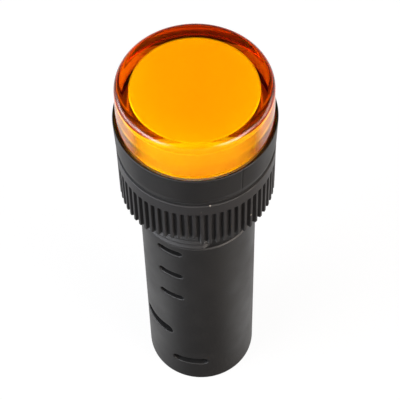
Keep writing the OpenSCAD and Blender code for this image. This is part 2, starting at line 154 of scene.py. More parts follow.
def makePiece(name, surfaces, material, body, stands=(), sharpAngle=35):
    # joins the surfaces (in mm) into one mesh in metres, closes its seams and makes it ride
    offset, allPoints, allFaces = 0, [], []
    for points, faces in surfaces:
        allPoints.append(points)
        allFaces += (np.asarray(faces) + offset).tolist()
        offset += len(points)
    mesh = bpy.data.meshes.new(name)
    mesh.from_pydata((np.vstack(allPoints) * mm).tolist(), [], allFaces)
    work = bmesh.new()
    work.from_mesh(mesh)
    bmesh.ops.remove_doubles(work, verts=work.verts, dist=seamGap * mm)
    bmesh.ops.dissolve_degenerate(work, edges=work.edges, dist=seamGap * mm / 10)
    bmesh.ops.recalc_face_normals(work, faces=work.faces)
    work.to_mesh(mesh)
    work.free()
    mesh.shade_smooth()
    mesh.set_sharp_from_angle(angle=np.radians(sharpAngle))
    mesh.materials.append(material)
    piece = bpy.data.objects.new(name, mesh)
    bpy.context.scene.collection.objects.link(piece)
    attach(piece, body)
    if stands:
        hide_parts(*stands)
    return piece


housingLook = {
    "dark": "#232323", "light": "#2f2e2d", "cloud": 4.0,  # two close tones in clouds of 4 mm
    "grain": 0.12, "bump": 0.35,  # mm; the mould's own grain is finer and is drawn this coarse to show
    "roughness": 0.5, "shinier": 0.05, "duller": 0.06,  # and how far the clouds move it down and up
    "ior": 1.5, "specular": 0.5,
    "dust": "#b9b2a6", "dustSpacing": 2.6, "dustSize": 0.14,  # mm between specks, and the biggest one
    "dustShare": 0.78,  # of the places for a speck are left clean
    "paintedShade": "#0a0a0a", "shadeRadius": 7.5, "shadeWidth": 0.12,  # painted shade: everything inside 7.5 mm of the axis, such as the openings' walls and the bore, is painted near black
}
nutLook = {**housingLook, "shadeRadius": 0.0, "dark": "#302f2f", "light": "#383737"}
blockLook = {**housingLook, "shadeRadius": 0.0, "roughness": 0.42}


def mouldedBlack(name, look):
    # glass-filled black plastic from a spark-eroded mould: a fine even grain that breaks up every
    # highlight, slow cloudy changes of tone, a little pale dust, and painted shade: near black inside a
    # radius from the axis
    material, tree, out = newMaterial(name)
    place = addNode(tree, "ShaderNodeTexCoord").outputs["Object"]
    grain = addNode(tree, "ShaderNodeTexNoise", {"Scale": 1 / (look["grain"] * mm), "Detail": 3.0,
                                                 "Roughness": 0.6}, {"Vector": place})
    cloud = addNode(tree, "ShaderNodeTexNoise", {"Scale": 1 / (look["cloud"] * mm), "Detail": 2.0},
                    {"Vector": place})
    tone = addNode(tree, "ShaderNodeMix", {"data_type": "RGBA", 6: hexToLinear(look["dark"]),
                                           7: hexToLinear(look["light"])}, {0: cloud.outputs["Fac"]})
    # dust: a speck round some of the points of a cell pattern, each with its own size
    cells = addNode(tree, "ShaderNodeTexVoronoi", {"Scale": 1 / (look["dustSpacing"] * mm),
                                                   "Randomness": 1.0}, {"Vector": place})
    chance = addNode(tree, "ShaderNodeTexWhiteNoise", {"noise_dimensions": "3D"},
                     {"Vector": cells.outputs["Position"]})
    size = addNode(tree, "ShaderNodeMapRange", {1: look["dustShare"], 2: 1.0, 3: 0.0,
                                                4: look["dustSize"] / look["dustSpacing"]},
                   {0: chance.outputs["Value"]})
    speck = addNode(tree, "ShaderNodeMath", {"operation": "LESS_THAN"},
                    {0: cells.outputs["Distance"], 1: size.outputs[0]})
    dusty = addNode(tree, "ShaderNodeMix", {"data_type": "RGBA", 7: hexToLinear(look["dust"])},
                    {0: speck.outputs[0], 6: tone.outputs[2]})
    # painted shade: 1 inside the radius from the axis, where the colour turns near black
    inside = addNode(tree, "ShaderNodeMapRange", {1: (look["shadeRadius"] - look["shadeWidth"]) * mm,
                                                  2: look["shadeRadius"] * mm, 3: 1.0, 4: 0.0},
                     {0: fromAxis(tree, place)})
    colour = addNode(tree, "ShaderNodeMix", {"data_type": "RGBA", 7: hexToLinear(look["paintedShade"])},
                     {0: inside.outputs[0], 6: dusty.outputs[2]})
    rough = addNode(tree, "ShaderNodeMapRange", {1: noiseLow, 2: noiseHigh,
                                                 3: look["roughness"] - look["shinier"],
                                                 4: look["roughness"] + look["duller"]},
                    {0: cloud.outputs["Fac"]})
    bump = addNode(tree, "ShaderNodeBump", {"Strength": look["bump"], "Distance": reliefDepth * mm},
                   {"Height": grain.outputs["Fac"]})
    shader = addNode(tree, "ShaderNodeBsdfPrincipled",
                     {"IOR": look["ior"], "Specular IOR Level": look["specular"]},
                     {"Base Color": colour.outputs[2], "Roughness": rough.outputs[0],
                      "Normal": bump.outputs["Normal"]})
    tree.links.new(shader.outputs[0], out.inputs["Surface"])
    return material


amberLook = {
    "ior": 1.57,  # polycarbonate
    "pass": (0.992, 0.896, 0.1),  # depth takes density * (1 - pass) of red, green and blue per metre
    "density": 2000.0,
    "roughness": 0.02,
    "mattRadius": 8.0, "mattTop": 59.3, "matt": 0.2,  # the inner side face: inside and below these, mm
    "footTop": 54.75, "foot": 0.12,  # the foot, below this height
    "flow": 3.5, "bump": 0.05,  # mm between the slow waves of the flowed surface
}


def clearAmber(name, look):
    # dyed clear polycarbonate, polished in the mould: the colour is in its depth, so a thin wall is
    # yellow, the front is orange and the long way down the side wall is dark red; the inner side face
    # and the foot are left matt, so they light up where light leaves the diffuser
    material, tree, out = newMaterial(name)
    place = addNode(tree, "ShaderNodeTexCoord").outputs["Object"]
    flow = addNode(tree, "ShaderNodeTexNoise", {"Scale": 1 / (look["flow"] * mm), "Detail": 1.0},
                   {"Vector": place})
    bump = addNode(tree, "ShaderNodeBump", {"Strength": look["bump"], "Distance": reliefDepth * mm},
                   {"Height": flow.outputs["Fac"]})
    height = addNode(tree, "ShaderNodeSeparateXYZ", {}, {0: place})
    near = addNode(tree, "ShaderNodeMath", {"operation": "LESS_THAN", 1: look["mattRadius"] * mm},
                   {0: fromAxis(tree, place)})
    below = addNode(tree, "ShaderNodeMath", {"operation": "LESS_THAN", 1: look["mattTop"] * mm},
                    {0: height.outputs["Z"]})
    inner = addNode(tree, "ShaderNodeMath", {"operation": "MULTIPLY"},
                    {0: near.outputs[0], 1: below.outputs[0]})
    foot = addNode(tree, "ShaderNodeMath", {"operation": "LESS_THAN", 1: look["footTop"] * mm},
                   {0: height.outputs["Z"]})
    side = addNode(tree, "ShaderNodeMapRange", {3: look["roughness"], 4: look["matt"]},
                   {0: inner.outputs[0]})
    rough = addNode(tree, "ShaderNodeMapRange", {4: look["foot"]}, {0: foot.outputs[0], 3: side.outputs[0]})
    glass = addNode(tree, "ShaderNodeBsdfPrincipled",
                    {"Base Color": (1, 1, 1, 1), "IOR": look["ior"], "Transmission Weight": 1.0},
                    {"Roughness": rough.outputs[0], "Normal": bump.outputs["Normal"]})
    # shadow rays go straight through and take the depth's colour alone
    clear = addNode(tree, "ShaderNodeBsdfTransparent")
    path = addNode(tree, "ShaderNodeLightPath")
    mix = addNode(tree, "ShaderNodeMixShader", {}, {0: path.outputs["Is Shadow Ray"],
                                                    1: glass.outputs[0], 2: clear.outputs[0]})
    depth = addNode(tree, "ShaderNodeVolumeAbsorption", {"Color": (*look["pass"], 1),
                                                         "Density": look["density"]})
    tree.links.new(mix.outputs[0], out.inputs["Surface"])
    tree.links.new(depth.outputs[0], out.inputs["Volume"])
    return material


def plainFinish(name, hexes, roughness=0.5, metallic=0.0, patternMm=1.0, bump=0.1, ior=1.5,
                stretch=(1, 1, 1), extra=None):
    # two close tones in a soft noise of patternMm, with the same noise as a slight relief
    material, tree, out = newMaterial(name)
    place = addNode(tree, "ShaderNodeTexCoord").outputs["Object"]
    turned = addNode(tree, "ShaderNodeMapping", {"Scale": stretch}, {"Vector": place})
    noise = addNode(tree, "ShaderNodeTexNoise", {"Scale": 1 / (patternMm * mm), "Detail": 3.0},
                    {"Vector": turned.outputs[0]})
    tone = addNode(tree, "ShaderNodeMix", {"data_type": "RGBA", 6: hexToLinear(hexes[0]),
                                           7: hexToLinear(hexes[1])}, {0: noise.outputs["Fac"]})
    relief = addNode(tree, "ShaderNodeBump", {"Strength": bump, "Distance": reliefDepth * mm},
                     {"Height": noise.outputs["Fac"]})
    shader = addNode(tree, "ShaderNodeBsdfPrincipled", {"Roughness": roughness, "Metallic": metallic,
                                                        "IOR": ior, **(extra or {})},
                     {"Base Color": tone.outputs[2], "Normal": relief.outputs["Normal"]})
    tree.links.new(shader.outputs[0], out.inputs["Surface"])
    return material


housingPlastic = mouldedBlack("Moulded black plastic, housing", housingLook)
nutPlastic = mouldedBlack("Moulded black plastic, nut", nutLook)
blockPlastic = mouldedBlack("Moulded black plastic, terminal block", blockLook)
amberPlastic = clearAmber("Clear amber polycarbonate", amberLook)
# moulded plastic filled with white: even and slightly warm, and light goes a little way into it
milkPlastic = plainFinish("Milky white diffuser plastic", ("#f6f1e6", "#efe9da"), 0.42, patternMm=5.0,
                          bump=0.02, extra={"Subsurface Weight": 0.3, "Subsurface Scale": 0.6 * mm})
# moulded rubber: near black and dull, with a fine tooth
sealRubber = plainFinish("Black seal rubber", ("#121212", "#1a1a1a"), 0.75, patternMm=0.4, bump=0.3)
# printed solder mask: a thin, half glossy coat that follows the board's weave
whiteMask = plainFinish("White solder mask", ("#f2f2ee", "#e9eae4"), 0.35, patternMm=0.8, bump=0.05)
greenMask = plainFinish("Green solder mask", ("#1f6b3a", "#185a30"), 0.3, patternMm=0.7, bump=0.25)
# cast silicone with phosphor in it: a smooth yellow pad
chipSilicone = plainFinish("Lamp chip silicone", ("#f3c33b", "#eab42c"), 0.3, patternMm=0.5, bump=0.05)
# moulded box and heat-shrunk film: smooth and half glossy
boxPlastic = plainFinish("Film capacitor box", ("#8f2f1d", "#842a19"), 0.35, patternMm=2.0, bump=0.1)
sleeveFilm = plainFinish("Shrink sleeve", ("#1d2230", "#232a3b"), 0.28, patternMm=2.0, bump=0.05)
# transfer-moulded epoxy: matt with a fine grain
blackEpoxy = plainFinish("Moulded black epoxy", ("#1a1a1a", "#222222"), 0.55, patternMm=0.3, bump=0.3)
# dipped lacquer: a smooth skin with slight runs
tanLacquer = plainFinish("Tan resistor lacquer", ("#c7b184", "#bda679"), 0.4, patternMm=0.6, bump=0.15)
blueLacquer = plainFinish("Blue resistor lacquer", ("#7fa9c4", "#759fba"), 0.4, patternMm=0.6, bump=0.15)
# tinned wire, stamped strip with marks drawn out along its length, and bright zinc plate
tinnedBrass = plainFinish("Tinned pin", ("#c9c3b2", "#bdb6a2"), 0.3, 1.0, patternMm=0.4, bump=0.1)
stampedBrass = plainFinish("Stamped brass strip", ("#c9a454", "#bd9747"), 0.32, 1.0, patternMm=0.6,
                           bump=0.15, stretch=(1, 1, 0.1))
zincPlate = plainFinish("Bright zinc plate", ("#c3c6ca", "#b3b6bb"), 0.28, 1.0, patternMm=0.5, bump=0.12)
print("materials made")


capShape = {
    "wall": 1.8, "front": 2.0, "frontEdge": 0.88, "draft": 0.13, "innerEdge": 0.3,
    "neckIn": 0.6, "neckUp": 0.62, "neckDown": 0.25, "neckEdge": 0.04,  # the foot is undercut at the rim
    "seat": 0.8, "footEdge": 0.1,
    "steps": 256, "arcSteps": 10,
}


def makeCap(shape):
    # a revolved cup: straight drafted wall, flat front, arcs at the edges; above the bezel's rim its
    # outside slants in to a narrower foot, which stands on the diffuser's white flange, and the flange
    # takes the hidden skirt's place and sends light up the wall
    top, radius = boxMm("lens_cap")[1][[2, 0]]
    inside = radius - shape["wall"]
    rim = boxMm("housing")[1][2]
    seat = rim - shape["seat"]
    ceiling = top - shape["front"]
    narrow = radius - shape["neckIn"]
    corners = [(0, top, 0), (radius - shape["draft"], top, shape["frontEdge"]),
               (radius, rim + shape["neckUp"], shape["neckEdge"]),
               (narrow, rim - shape["neckDown"], shape["footEdge"]), (narrow, seat, shape["footEdge"]),
               (inside, seat, shape["footEdge"]), (inside, ceiling, shape["innerEdge"]), (0, ceiling, 0)]
    profile = roundProfile(corners, steps=shape["arcSteps"], closed=False)
    return makePiece("amber_cap", [revolve(profile, ringAngles(shape["steps"]), closed=False)],
                     amberPlastic, "lamp", ["lens_cap"])


makeCap(capShape)


diffuserShape = {
    "gap": 0.05, "wall": 0.9, "front": 1.0, "edge": 0.08, "innerEdge": 0.3,
    "lip": 8.2, "lipDrop": 0.85, "ledge": 9.2, "ledgeDrop": 2.6,  # radius, and depth below the rim
    "crisp": 0.05, "step": 0.1,  # radii of the flange's edges and of its inside corner
    "steps": 192,
}


def makeDiffuser(shape):
    # a revolved cup that fills the cap, with an arc at its front edge, and a stepped flange: a thin lip
    # right under the cap's foot, then a ledge lower down
    low, high = boxMm("diffuser")
    top, foot = high[2], low[2]
    radius = boxMm("lens_cap")[1][0] - capShape["wall"] - shape["gap"]
    inside, rim = radius - shape["wall"], boxMm("housing")[1][2]
    lip, ledge = rim - shape["lipDrop"], rim - shape["ledgeDrop"]
    ceiling, crisp = top - shape["front"], shape["crisp"]
    corners = [(0, top, 0), (radius, top, shape["edge"]), (radius, lip, crisp), (shape["lip"], lip, crisp),
               (shape["lip"], ledge, shape["step"]), (shape["ledge"], ledge, crisp),
               (shape["ledge"], foot, crisp), (inside, foot, crisp),
               (inside, ceiling, shape["innerEdge"]), (0, ceiling, 0)]
    profile = roundProfile(corners, closed=False)
    return makePiece("diffuser_cup", [revolve(profile, ringAngles(shape["steps"]), closed=False)],
                     milkPlastic, "lamp", ["diffuser"])


makeDiffuser(diffuserShape)
print("cap and diffuser made")


housingShape = {
    "bezelRound": 0.14, "bezelDraft": 0.12,  # the bezel narrows backwards by its draft
    "chamferHeight": 1.0, "chamferWidth": 0.2, "chamferRound": 0.25, "backRound": 0.12,
    "land": 0.16, "landRound": 0.06, "rimWidth": 0.35, "rimFall": 0.55,  # flat top, then it falls inwards
    "seat": 0.8, "socketRadius": 9.33, "beadUp": 1.2, "beadOut": 0.18,  # the socket and its snap groove
    "crisp": 0.05, "soft": 0.1,  # radii of the small edges
    "barrelRadius": 7.6, "boreRadius": 6.1, "skirtRadius": 6.5, "skirtDepth": 10.6,
    "rearRound": 0.6, "rearEdge": 0.12, "rearRise": 0.2,
    "flange": 50.3, "shelf": 51.3, "neck": 36.3, "neckSink": 0.17,
    "partingTurn": 32.7, "partingWidth": 0.09, "partingDepth": 0.07,  # the mould's parting line
    "partingLow": 0.7, "partingHigh": 0.9,  # it fades in between these, above the flange
    # round-ended openings in the barrel: width, height, middle height, angle; each is also half a turn
    # round, and has a lip of the given radius
    "openings": [(3.6, 1.1, 34.4, -31), (3.6, 1.1, 28.8, -31), (3.6, 1.1, 23.2, -31),
                 (5.6, 2.0, 12.7, -54), (5.2, 1.5, 5.35, -13)],
    "lipRound": 0.14, "lipSteps": 5,
    "steps": 192, "rows": 0.7, "clear": 0.12,  # mm between rows, and kept free round an opening
}


def stadium(width, height, grow, count=40):
    # round-ended outline grown by grow: the ends are half circles, the sides straight
    half, radius = (width - height) / 2, height / 2 + grow
    turn = np.linspace(-np.pi / 2, np.pi / 2, count // 4 + 1)
    right = np.stack([half + radius * np.cos(turn), radius * np.sin(turn)], axis=-1)
    flat = np.linspace(1, -1, count // 4 + 1)[1:-1, None] * np.array([[half, 0]]) + [[0, radius]]
    return np.vstack([right, flat, -right, -flat])


def onBarrel(outline, radius, height, turn):
    # punched points: x' across the punch, carried straight in to the given radius, then turned
    across, up = outline[:, 0], outline[:, 1] + height
    angle = np.radians(turn)
    deep = np.sqrt(radius ** 2 - across ** 2)
    return np.stack([across * np.cos(angle) + deep * np.sin(angle),
                     across * np.sin(angle) - deep * np.cos(angle), up], axis=-1)


def inHole(points, radius, hole, spare=0):
    # whether points of an unrolled wall lie in a hole or less than spare from it: their distance from
    # the line between its two end centres is less than half its height
    outline, height, turn = hole
    angle = points[:, 0] / radius - np.radians(turn)
    halfWidth, halfHeight = outline.max(axis=0)
    past = np.maximum(np.abs(radius * np.sin(angle)) - (halfWidth - halfHeight), 0)
    return (np.hypot(past, points[:, 1] - height) < halfHeight + spare) & (np.cos(angle) > 0)


def wallSheet(radius, low, high, angles, shape, holes):
    # a cylinder wall unrolled to a flat sheet of (angle * radius, z), meshed round its holes and rolled up
    rows = np.linspace(low, high, int(round((high - low) / shape["rows"])) + 1)
    closed = np.append(angles, angles[0] + 2 * np.pi)
    flatS, flatZ = np.meshgrid(closed * radius, rows)
    points = np.stack([flatS.ravel(), flatZ.ravel()], axis=-1)
    keep = np.ones(len(points), bool)
    rims, edges = [], []
    for hole in holes:
        outline, height, turn = hole
        keep &= ~inHole(points, radius, hole, shape["clear"])
        lap = np.radians(turn) + np.arcsin(outline[:, 0] / radius)
        lap = (lap - angles[0]) % (2 * np.pi) + angles[0]
        rims.append(np.stack([lap * radius, outline[:, 1] + height], axis=-1))
    points = points[keep]
    start = len(points)
    for rim in rims:
        index = np.arange(len(rim))
        edges += np.stack([start + index, start + (index + 1) % len(rim)], axis=-1).tolist()
        start += len(rim)
    points = np.vstack([points, *rims])
    flat, _, triangles, *_ = delaunay_2d_cdt([Vector(p) for p in points.tolist()], edges, [], 0, 1e-6)
    flat, triangles = np.array([tuple(p) for p in flat]), np.array(triangles)
    middle = flat[triangles].mean(axis=1)
    solid = np.ones(len(triangles), bool)
    for hole in holes:
        solid &= ~inHole(middle, radius, hole)
    angle = flat[:, 0] / radius
    rolled = np.stack([radius * np.sin(angle), -radius * np.cos(angle), flat[:, 1]], axis=-1)
    return rolled, triangles[solid]


def makeHousing(shape):
    # three revolved profiles (the neck, bezel and socket; the rear edge; the bore's ledge), three
    # punched cylinder walls between them, and a lip through the wall round each opening
    rim, edge = boxMm("housing")[1][2], boxMm("housing")[1][0]
    barrel, bore, skirt = shape["barrelRadius"], shape["boreRadius"], shape["skirtRadius"]
    flange, shelf, socket = shape["flange"], shape["shelf"], shape["socketRadius"]
    crisp, soft, rearRound = shape["crisp"], shape["soft"], shape["rearRound"]
    seat, bead, out = rim - shape["seat"], boxMm("lens_cap")[0][2] + shape["beadUp"], shape["beadOut"]
    back, lip = edge - shape["bezelDraft"], edge - shape["rimWidth"]
    neckRadius, neckFoot = barrel - shape["neckSink"], shape["neck"] - shape["neckSink"]
    partingTurn, partingWidth = np.radians(shape["partingTurn"]), shape["partingWidth"]
    # 13 more angles over three groove widths to each side of the parting line
    angles = ringAngles(shape["steps"], partingTurn + np.linspace(-3, 3, 13) * partingWidth / edge)
    corners = [(barrel, neckFoot, 0), (neckRadius, shape["neck"], crisp), (neckRadius, flange, soft),
               (back - shape["chamferWidth"], flange, shape["backRound"]),
               (back, flange + shape["chamferHeight"], shape["chamferRound"]),
               (edge, rim, shape["bezelRound"]), (edge - shape["land"], rim, shape["landRound"]),
               (lip, rim - shape["rimFall"], 0), (lip, seat, 0), (socket, seat, crisp),
               (socket, bead + out, 0), (socket + out, bead, crisp), (socket, bead - out, 0),
               (socket, shelf, soft), (bore, shelf, 0)]
    head, headFaces = revolve(roundProfile(corners, closed=False), angles, closed=False)
    # the parting line is a fine groove: r falls by a bell curve across it, on the bezel's outer face alone
    across = (np.arctan2(head[:, 0], -head[:, 1]) - partingTurn) * edge
    outer = smoothStep(flange + shape["partingLow"], flange + shape["partingHigh"], head[:, 2])
    outer = outer * (np.hypot(head[:, 0], head[:, 1]) > back - crisp)
    sink = shape["partingDepth"] * np.exp(-(across / partingWidth) ** 2) * outer
    head[:, :2] *= (1 - sink / np.hypot(head[:, 0], head[:, 1]))[:, None]
    rear = roundProfile([(skirt, rearRound, 0), (skirt, 0, shape["rearEdge"]), (barrel, 0, rearRound),
                         (barrel, rearRound + shape["rearRise"], 0)], closed=False)
    ledge = np.array([(skirt, shape["skirtDepth"]), (bore, shape["skirtDepth"])])
    lipRound = shape["lipRound"]
    openings = [(w, h, z, turn + half) for half in (0, 180) for w, h, z, turn in shape["openings"]]
    grown = [(stadium(w, h, lipRound), z, turn) for w, h, z, turn in openings]
    plain = [(stadium(w, h, 0), z, turn) for w, h, z, turn in openings]
    inSkirt = [hole for hole in plain if hole[1] < shape["skirtDepth"]]
    inBore = [hole for hole in plain if hole[1] > shape["skirtDepth"]]
    surfaces = [
        (head, headFaces),
        revolve(rear, angles, closed=False),
        revolve(ledge, angles, closed=False),
        wallSheet(barrel, rearRound + shape["rearRise"], neckFoot, angles, shape, grown),
        wallSheet(skirt, rearRound, shape["skirtDepth"], angles, shape, inSkirt),
        wallSheet(bore, shape["skirtDepth"], shelf, angles, shape, inBore)]
    # the lips: a quarter circle from the outer face into the opening, then straight through the wall
    swing = np.linspace(0, np.pi / 2, shape["lipSteps"])
    for width, height, z, turn in openings:
        inner = skirt if z < shape["skirtDepth"] else bore
        rings = [onBarrel(stadium(width, height, lipRound * (1 - np.sin(a))),
                          barrel - lipRound * (1 - np.cos(a)), z, turn) for a in swing]
        rings.append(onBarrel(stadium(width, height, 0), inner, z, turn))
        surfaces.append((np.vstack(rings), gridFaces(len(rings), len(rings[0]), False, True)))
    return makePiece("housing_shell", surfaces, housingPlastic, "lamp", ["housing"], 40)


makeHousing(housingShape)


threadShape = {
    "pitch": 1.0, "root": 7.40, "crest": 7.94, "baseWidth": 0.86, "crestWidth": 0.2, "crestRound": 0.12,
    "low": 36.75, "high": 49.5, "sectorMiddle": -26.0, "sectorHalf": 34.0, "sectorFade": 5.0,
    "runIn": 60, "stepsPerTurn": 180,  # it starts this many degrees before the sector's middle
}


def makeThread(shape):
    # a ridge carried along a helix z = low + pitch a / 2pi; its height swells from 0 to full inside
    # two opposite sectors and sinks under the neck's surface between them, as moulded threads do
    turns = (shape["high"] - shape["low"]) / shape["pitch"]
    start = np.radians(shape["sectorMiddle"] - shape["runIn"])
    angle = start + np.linspace(0, 2 * np.pi * turns, int(turns * shape["stepsPerTurn"]))
    height = shape["low"] + shape["pitch"] * (angle - start) / (2 * np.pi)
    turned = np.degrees(angle) - shape["sectorMiddle"]
    off = np.abs((turned + 90) % 180 - 90)  # from the middle of the nearer sector
    half, fade = shape["sectorHalf"], shape["sectorFade"]
    full = 1 - smoothStep(half - fade, half + fade, off)
    base, crest, bend = shape["baseWidth"] / 2, shape["crestWidth"] / 2, shape["crestRound"]
    section = roundProfile([(0, -base, 0), (1, -crest, bend), (1, crest, bend), (0, base, 0)],
                           steps=3, support=0.01, closed=False)
    radius = shape["root"] + (shape["crest"] - shape["root"]) * np.outer(full, section[:, 0])
    points = np.stack([radius * np.sin(angle)[:, None], -radius * np.cos(angle)[:, None],
                       height[:, None] + section[:, 1][None, :]], axis=-1)
    return makePiece("thread_ridge", [(points.reshape(-1, 3), gridFaces(*points.shape[:2], False, True))],
                     housingPlastic, "lamp", sharpAngle=50)


makeThread(threadShape)
print("housing made")


washerShape = {"bore": 7.99, "widening": 0.65, "edge": 0.12, "steps": 128}


def makeWasher(shape):
    # a revolved flat ring with rounded edges; its outside stands past the CAD ring's by its widening, so it
    # shows as a dark band in the gap under the bezel
    low, high = boxMm("sealing_washer")
    inner, outer, edge = shape["bore"], high[0] + shape["widening"], shape["edge"]
    corners = [(inner, low[2], edge), (outer, low[2], edge), (outer, high[2], edge), (inner, high[2], edge)]
    ring = revolve(roundProfile(corners, steps=4, support=0.02), ringAngles(shape["steps"]))
    return makePiece("seal_ring", [ring], sealRubber, "washer", ["sealing_washer"])


makeWasher(washerShape)


nutShape = {
    "bore": 7.7, "leadIn": 0.5, "edge": 0.12, "footEdge": 0.08, "boreEdge": 0.1,
    "ribs": 64, "groove": 0.46, "ribTop": 0.30, "ribFoot": 0.72,  # where a rib's side starts and ends
    "collar": 1.8, "runOut": 0.45,  # the plain top, and how far below it the grooves start to fade
    "rampHeight": 1.6, "rampStart": -43.0, "rampEnd": -1.0, "rampLap": 0.4,  # mm and degrees
    "samples": 12,  # angles for each rib
    "wallRows": 10, "runRows": 9, "fineBelow": 0.5, "fineAbove": 0.05, "lastRow": 0.3,  # round the collar
    "skin": 0.1, "boreSkin": 0.02,  # what counts as the outer face, and as the bore
}


def makeNut(shape):
    # a revolved ring whose outer wall is r - groove * rib(angle) * run(z): rib is 0 on a rib and 1 in a
    # groove, run fades to 0 at the collar; below the collar z is squeezed up over the ramp
    low, high = boxMm("lock_nut")
    foot, top, radius = low[2], high[2], high[0]
    bore, edge, ribs = shape["bore"], shape["edge"], shape["ribs"]
    collar = top - shape["collar"]
    corners = [(bore, foot + shape["leadIn"], 0), (bore + shape["leadIn"], foot, shape["footEdge"]),
               (radius, foot, edge), (radius, top, edge), (bore, top, shape["boreEdge"])]
    profile = roundProfile(corners)
    # rows are worked into the longest upright step of the outer wall, close together at the collar
    tall = np.argmax(np.diff(profile[:, 1]) * (profile[1:, 0] > radius - touch)) + 1
    fine = collar - shape["fineBelow"]
    levels = np.concatenate([np.linspace(profile[tall - 1, 1], fine, shape["wallRows"])[1:],
                             np.linspace(fine, collar + shape["fineAbove"], shape["runRows"])[1:],
                             [collar + shape["lastRow"]]])
    wall = np.stack([np.full(len(levels), radius), levels], axis=-1)
    profile = np.vstack([profile[:tall], wall, profile[tall:]])
    angles = np.linspace(-np.pi, np.pi, ribs * shape["samples"], endpoint=False)
    angles = angles + np.pi / ribs
    points, faces = revolve(profile, angles)
    grid = points.reshape(len(angles), len(profile), 3)
    share = np.abs((angles * ribs / (2 * np.pi)) % 1 - 0.5) * 2
    rib = smoothStep(shape["ribTop"], shape["ribFoot"], share)
    run = 1 - smoothStep(0, 1, (profile[:, 1] - collar + shape["runOut"]) / shape["runOut"])
    outer = profile[:, 0] > radius - edge - shape["skin"]
    keep = 1 - shape["groove"] / radius * np.outer(rib, run * outer)
    grid[:, :, :2] *= keep[:, :, None]
    degrees = np.degrees(angles)
    climb = np.clip((degrees - shape["rampStart"]) / (shape["rampEnd"] - shape["rampStart"]), 0, 1)
    ramp = shape["rampHeight"] * climb * (degrees < shape["rampEnd"] + shape["rampLap"])
    down = np.clip((collar - grid[:, :, 2]) / (collar - foot), 0, 1)
    body = profile[:, 0] > bore + shape["boreSkin"]
    grid[:, :, 2] += ramp[:, None] * down * body[None, :]
    return makePiece("lock_nut_ring", [(grid.reshape(-1, 3), faces)], nutPlastic, "nut",
                     ["lock_nut"], 50)


makeNut(nutShape)
print("washer and nut made")


# finishes of the frame's own nodes, also of those that a new piece stands for
finishes = {
    "housing": housingPlastic, "lens_cap": amberPlastic, "diffuser": milkPlastic,
    "sealing_washer": sealRubber, "lock_nut": nutPlastic,
    "lamp_board": whiteMask, "driver_board": greenMask,
    "board_pin_left": tinnedBrass, "board_pin_right": tinnedBrass,
    "film_capacitor": boxPlastic, "filter_capacitor": sleeveFilm, "bridge_rectifier": blackEpoxy,
    "series_resistor": tanLacquer, "bleed_resistor": blueLacquer, "surge_diode": blackEpoxy,
    "terminal_block": blockPlastic, "terminal_strip_left": stampedBrass,
    "terminal_strip_right": stampedBrass, "clamp_plate_left": zincPlate, "clamp_plate_right": zincPlate,
    "terminal_screw_left": zincPlate, "terminal_screw_right": zincPlate,
    **{f"lamp_chip_{i}": chipSilicone for i in range(1, 7)},
}
for name, material in finishes.items():
    nodes[name].data.materials.clear()
    nodes[name].data.materials.append(material)
print("finishes given")


studio = {
    "floor": "#4c4c4c", "floorSize": 3.0, "floorLift": 0.93,  # how white the eye sees the floor
    # how white a mirror finish sees it, a painted reflection: dark in front of mirrorNear, white behind
    # mirrorFar (metres, along
    # Y), and within flankEdge of the axis also white beside it, where flankTurn * |x| + y grows from
    # flankNear to flankFar
    "mirrorLift": 0.8, "mirrorNear": -0.008, "mirrorFar": 0.014,
    "flankTurn": 0.9, "flankNear": -0.008, "flankFar": 0.01, "flankEdge": (0.026, 0.034),
    "ceiling": 0.01, "horizon": 0.3, "horizonRise": 0.15, "ceilingRise": 0.6,  # strength; sine of height
    "left": {"turn": -64, "rise": 32, "power": 5.9, "size": (0.5, 0.36), "colour": "#f6f8ff"},
    "right": {"turn": 54, "rise": 32, "power": 5.0, "size": (0.46, 0.36), "colour": "#fff3ea"},
    "leftFill": {"turn": -98, "rise": 12, "power": 2.6, "size": (0.4, 0.3), "colour": "#f6f8ff"},
    "rightFill": {"turn": 96, "rise": 12, "power": 1.8, "size": (0.4, 0.3), "colour": "#fff0e4"},
    "distance": 0.42, "aim": 0.045,  # metres, from the lamps to the point that they face, and its height
    "soft": 0.1,  # each lamp's light starts to fall this share of its width from its middle
    "bounces": 32, "glassBounces": 24,  # light is passed on many times inside the clear wall
}


